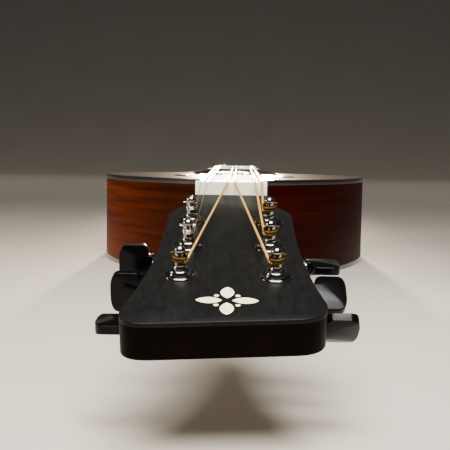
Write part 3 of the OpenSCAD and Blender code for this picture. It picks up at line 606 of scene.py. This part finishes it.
def string_parts(side, rank):
    """The still route from the post's last part turn to the ball, and the route that turns with the post."""
    radius, turns = STRINGS[side, rank]
    radius *= MM
    wrap = WAIST_RADIUS + radius
    climb = 2 * radius + WRAP_GAP
    centre = post_at(side, rank)
    nut = Vector((string_across(side, rank, NUT_COURSE), middle("nut").y, BOARD_TOP + 1.7 * MM))
    saddle = Vector((string_across(side, rank, SADDLE_COURSE), SADDLE.y, SADDLE_TOP))
    comb = Vector((saddle.x, TAILPIECE_START + 6 * MM, BALL_HEIGHT))
    toward = HEAD_INVERSE @ nut - centre
    leave = math.atan2(toward.y, toward.x) + SIDES[side] * math.acos(wrap / toward.xy.length)

    def on_wrap(turn):
        a = leave + SIDES[side] * 2 * math.pi * turn
        return HEAD @ (centre + Vector((wrap * math.cos(a), wrap * math.sin(a), LEAVE_HEIGHT + turn * climb)))

    still = [on_wrap(STILL_TURN * (1 - k / 8)) for k in range(9)]
    still += bend(still[-1], nut, saddle, 2 * MM) + bend(nut, saddle, comb, 2 * MM) + [comb]
    start = on_wrap(turns)
    heading = (on_wrap(turns - 0.01) - start).normalized()
    outward = HEAD_TURN.to_3x3() @ Vector((SIDES[side], 0, 0))
    hole = HEAD @ (centre + Vector((0, 0, HOLE_HEIGHT)))
    inner = hole - outward * (WAIST_RADIUS - 0.6 * MM)
    pull = [inner, inner - outward * 1.5 * MM, start - heading * 1.4 * MM, start]
    coil = [hole + outward * 4.2 * MM, hole + outward * 2 * MM, hole]
    coil += [bezier(pull, k / 8) for k in range(8)]
    steps = 28 * turns
    coil += [on_wrap(turns + (COIL_START - turns) * k / steps) for k in range(steps + 1)]
    return still, coil, radius


def bezier(points, t):
    while len(points) > 1:
        points = [a.lerp(b, t) for a, b in zip(points, points[1:])]
    return points[0]


def string_ball(side, rank):
    at = Vector((string_across(side, rank, SADDLE_COURSE), TAILPIECE_START + 4.8 * MM, BALL_HEIGHT))
    turn = Matrix.Rotation(math.radians(90), 4, "X")
    shape = [(0, -1.7), (1.3, -1.7), (1.9, -1.2), (1.55, -0.4), (1.55, 0.4), (1.9, 1.2), (1.3, 1.7), (0, 1.7)]
    verts, faces = lathe([(r * MM, z * MM) for r, z in shape], 32)
    return placed(Matrix.Translation(at) @ turn, verts), faces


def make_strings():
    for node, is_wound in (("wound_strings", True), ("plain_strings", False)):
        routes, balls = [], []
        for side, rank in TUNERS:
            if (STRINGS[side, rank][0] > 0.3) != is_wound:
                continue
            still, coil, radius = string_parts(side, rank)
            routes.append((still, radius))
            balls.append(string_ball(side, rank))
            end = string_piece(f"string_end_{side}_{rank}", [(coil, radius * 1.02)], slots[node],
                               body_of_node[f"post_{side}_{rank}"], ())
            # the wound coils round the posts take the darkened bronze, as painted shade
            if is_wound:
                end.data.materials[0] = MATERIALS["bronze_painted_shade"]
        string_piece(node + "_run", routes, slots[node], STATIC, (node,))
        new_piece(node + "_balls", *joined(balls), "brass")


def string_piece(name, routes, slot, body, nodes):
    """Tubes along routes, with each vertex's run along its string kept for the windings."""
    parts = [sweep(route, radius, TUBE_SIDES) for route, radius in routes]
    runs = []
    for route, _ in routes:
        run = 0.0
        for k, point in enumerate(route):
            run += (point - route[k - 1]).length if k else 0.0
            runs += [run] * TUBE_SIDES
    verts, faces = joined(parts)
    mesh = bpy.data.meshes.new(name)
    mesh.from_pydata([tuple(v) for v in verts], [], faces)
    mesh.attributes.new("run", "FLOAT", "POINT").data.foreach_set("value", runs)
    return finish_mesh(name, mesh, slot, body, 50, nodes)


def finish_plain_nodes():
    """Nodes whose own shape is right keep it, and take their finish."""
    for name, obj in frame["nodes"].items():
        obj.data.materials.clear()
        obj.data.materials.append(MATERIALS[OWN_FINISH.get(name, slots[name])])


# ---- Room ----

def make_room():
    """A pale floor that curves up into a plain backdrop far behind."""
    near, far, half, bend = -6.0, 5.0, 7.0, 2.5
    profile = [(near, 0.0), (far, 0.0)]
    angles = [math.radians(a) for a in range(5, 91, 5)]
    profile += [(far + bend * math.sin(a), bend * (1 - math.cos(a))) for a in angles]
    profile.append((far + bend, 7.0))
    verts = [Vector((x, y, z)) for y, z in profile for x in (-half, half)]
    faces = [(2 * k, 2 * k + 1, 2 * k + 3, 2 * k + 2) for k in range(len(profile) - 1)]
    mesh = bpy.data.meshes.new("floor")
    mesh.from_pydata([tuple(v) for v in verts], [], faces)
    for polygon in mesh.polygons:
        polygon.use_smooth = True
    floor = bpy.data.objects.new("floor", mesh)
    bpy.context.collection.objects.link(floor)
    s = Shader("floor_paint")
    s.color(s.ramp(s.noise(3.0, 4, 0.5), [(0.3, (0.52, 0.47, 0.40)), (0.7, (0.55, 0.50, 0.43))]))
    s.roughness(s.spread(s.noise(40.0, 3, 0.5), 0.55, 0.65))
    mesh.materials.append(s.material)
    world = bpy.data.worlds.new("studio")
    world.use_nodes = True
    world.node_tree.nodes["Background"].inputs["Color"].default_value = (0.80, 0.82, 0.86, 1)
    world.node_tree.nodes["Background"].inputs["Strength"].default_value = 0.08
    bpy.context.scene.world = world


def area_light(name, at, towards, size, watts, color=(1, 1, 1), spread=180):
    light = bpy.data.lights.new(name, "AREA")
    light.spread = math.radians(spread)
    light.shape = "RECTANGLE"
    light.size, light.size_y = size
    light.energy = watts
    light.color = color
    lamp = bpy.data.objects.new(name, light)
    lamp.location = at
    lamp.rotation_euler = (Vector(towards) - Vector(at)).to_track_quat("-Z", "Y").to_euler()
    lamp.visible_camera = False
    bpy.context.collection.objects.link(lamp)


def make_lights():
    """Two softboxes above the head, a warm one from the left, a low narrow one from behind for the glow on
    the nut and fingerboard, and a wide one over the floor behind."""
    head = HEAD_ORIGIN
    area_light("key", head + Vector((-0.02, -0.48, 0.92)), head, (0.95, 0.75), 15, (1.0, 0.96, 0.90), 100)
    area_light("top", head + Vector((0.13, -0.20, 1.05)), head, (0.34, 0.60), 10, (0.95, 0.98, 1.0))
    area_light("side", (-2.2, -0.35, 0.8), (-0.15, 0.10, 0.06), (0.6, 0.6), 5.6, (1.0, 0.82, 0.60), 70)
    area_light("beyond", (0, 3.4, 0.34), (0, -0.1, 0.11), (0.36, 0.3), 4.2, (1.0, 0.82, 0.58), 10)
    area_light("backdrop", (0, 3.3, 1.3), (0, 3.5, 0), (7.0, 3.2), 27, (1.0, 0.93, 0.82))


# ---- Camera ----

def make_camera():
    """In front of the tip, a little above the face, looking along the neck."""
    pitch = math.radians(20.5)
    turn = math.radians(0.825)
    tip_posts = (HEAD_INVERSE @ Vector(joints["turn_post_bass_3"]["pos_m"])).y
    across = Vector((math.cos(turn), math.sin(turn), 0))
    along = Vector((-math.sin(turn), math.cos(turn), 0))
    up = Vector((0, 0, 1))
    right = across
    down = -math.sin(pitch) * along - math.cos(pitch) * up
    ahead = math.cos(pitch) * along - math.sin(pitch) * up
    right_of, below, distance = 1.68 * MM, 23.22 * MM, 389.3 * MM
    eye = Vector((0, tip_posts, 0)) - right_of * right - below * down - distance * ahead
    turned = HEAD_TURN.to_3x3()
    axes = Matrix((turned @ right, -(turned @ down), -(turned @ ahead))).transposed()
    roll = Matrix.Rotation(math.radians(0.7), 3, "Z")
    data = bpy.data.cameras.new("camera")
    data.sensor_width = 36
    data.lens = 68
    data.clip_start = 0.02
    camera = bpy.data.objects.new("camera", data)
    camera.matrix_world = Matrix.Translation(HEAD @ eye) @ (axes @ roll).to_4x4()
    bpy.context.collection.objects.link(camera)
    bpy.context.scene.camera = camera


make_camera()
make_materials()
finish_plain_nodes()
make_head()
make_buttons()
make_small_parts()
make_strings()
make_room()
make_lights()
